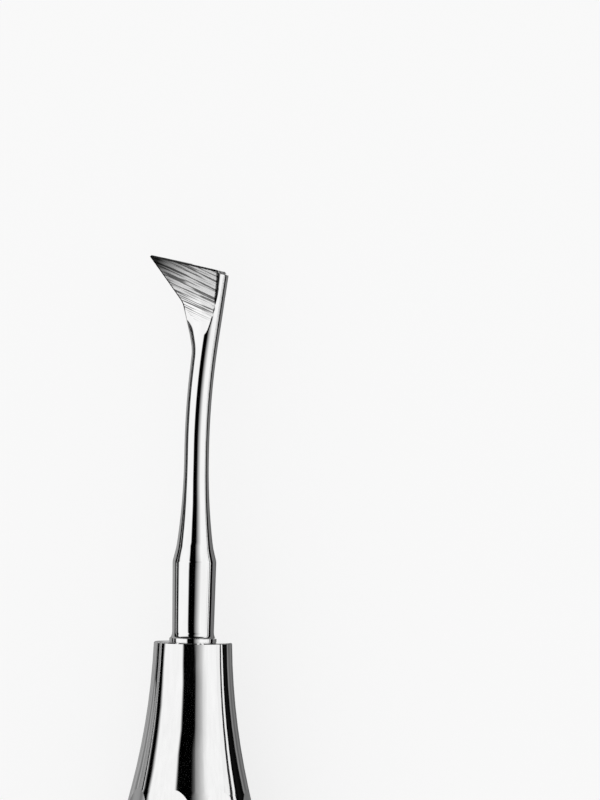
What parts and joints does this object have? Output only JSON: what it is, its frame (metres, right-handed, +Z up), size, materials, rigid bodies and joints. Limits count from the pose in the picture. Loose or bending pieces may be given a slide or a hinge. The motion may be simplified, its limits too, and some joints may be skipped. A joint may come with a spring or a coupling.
{
  "type": "dental elevator",
  "caption": "Dental root elevator: flat triangular flag blade on a slim bent round shank with a collar, set in a hollow flared grip with flats and a domed end cap.",
  "frame": {"origin": "centre of the handle flat that the tool rests on", "axes": "+Y along the tool toward the blade's tip, +Z up, away from the flat that it rests on"},
  "size_m": [0.016, 0.1549, 0.016],
  "materials": {
    "polished_steel": "mirror polished, face ground with fine lines",
    "bright_steel": "bright, with faint turning lines under the polish"
  },
  "bodies": {
    "root": {"working_end": "polished_steel", "handle_shell": "bright_steel", "end_cap": "bright_steel"}
  },
  "joints": []
}
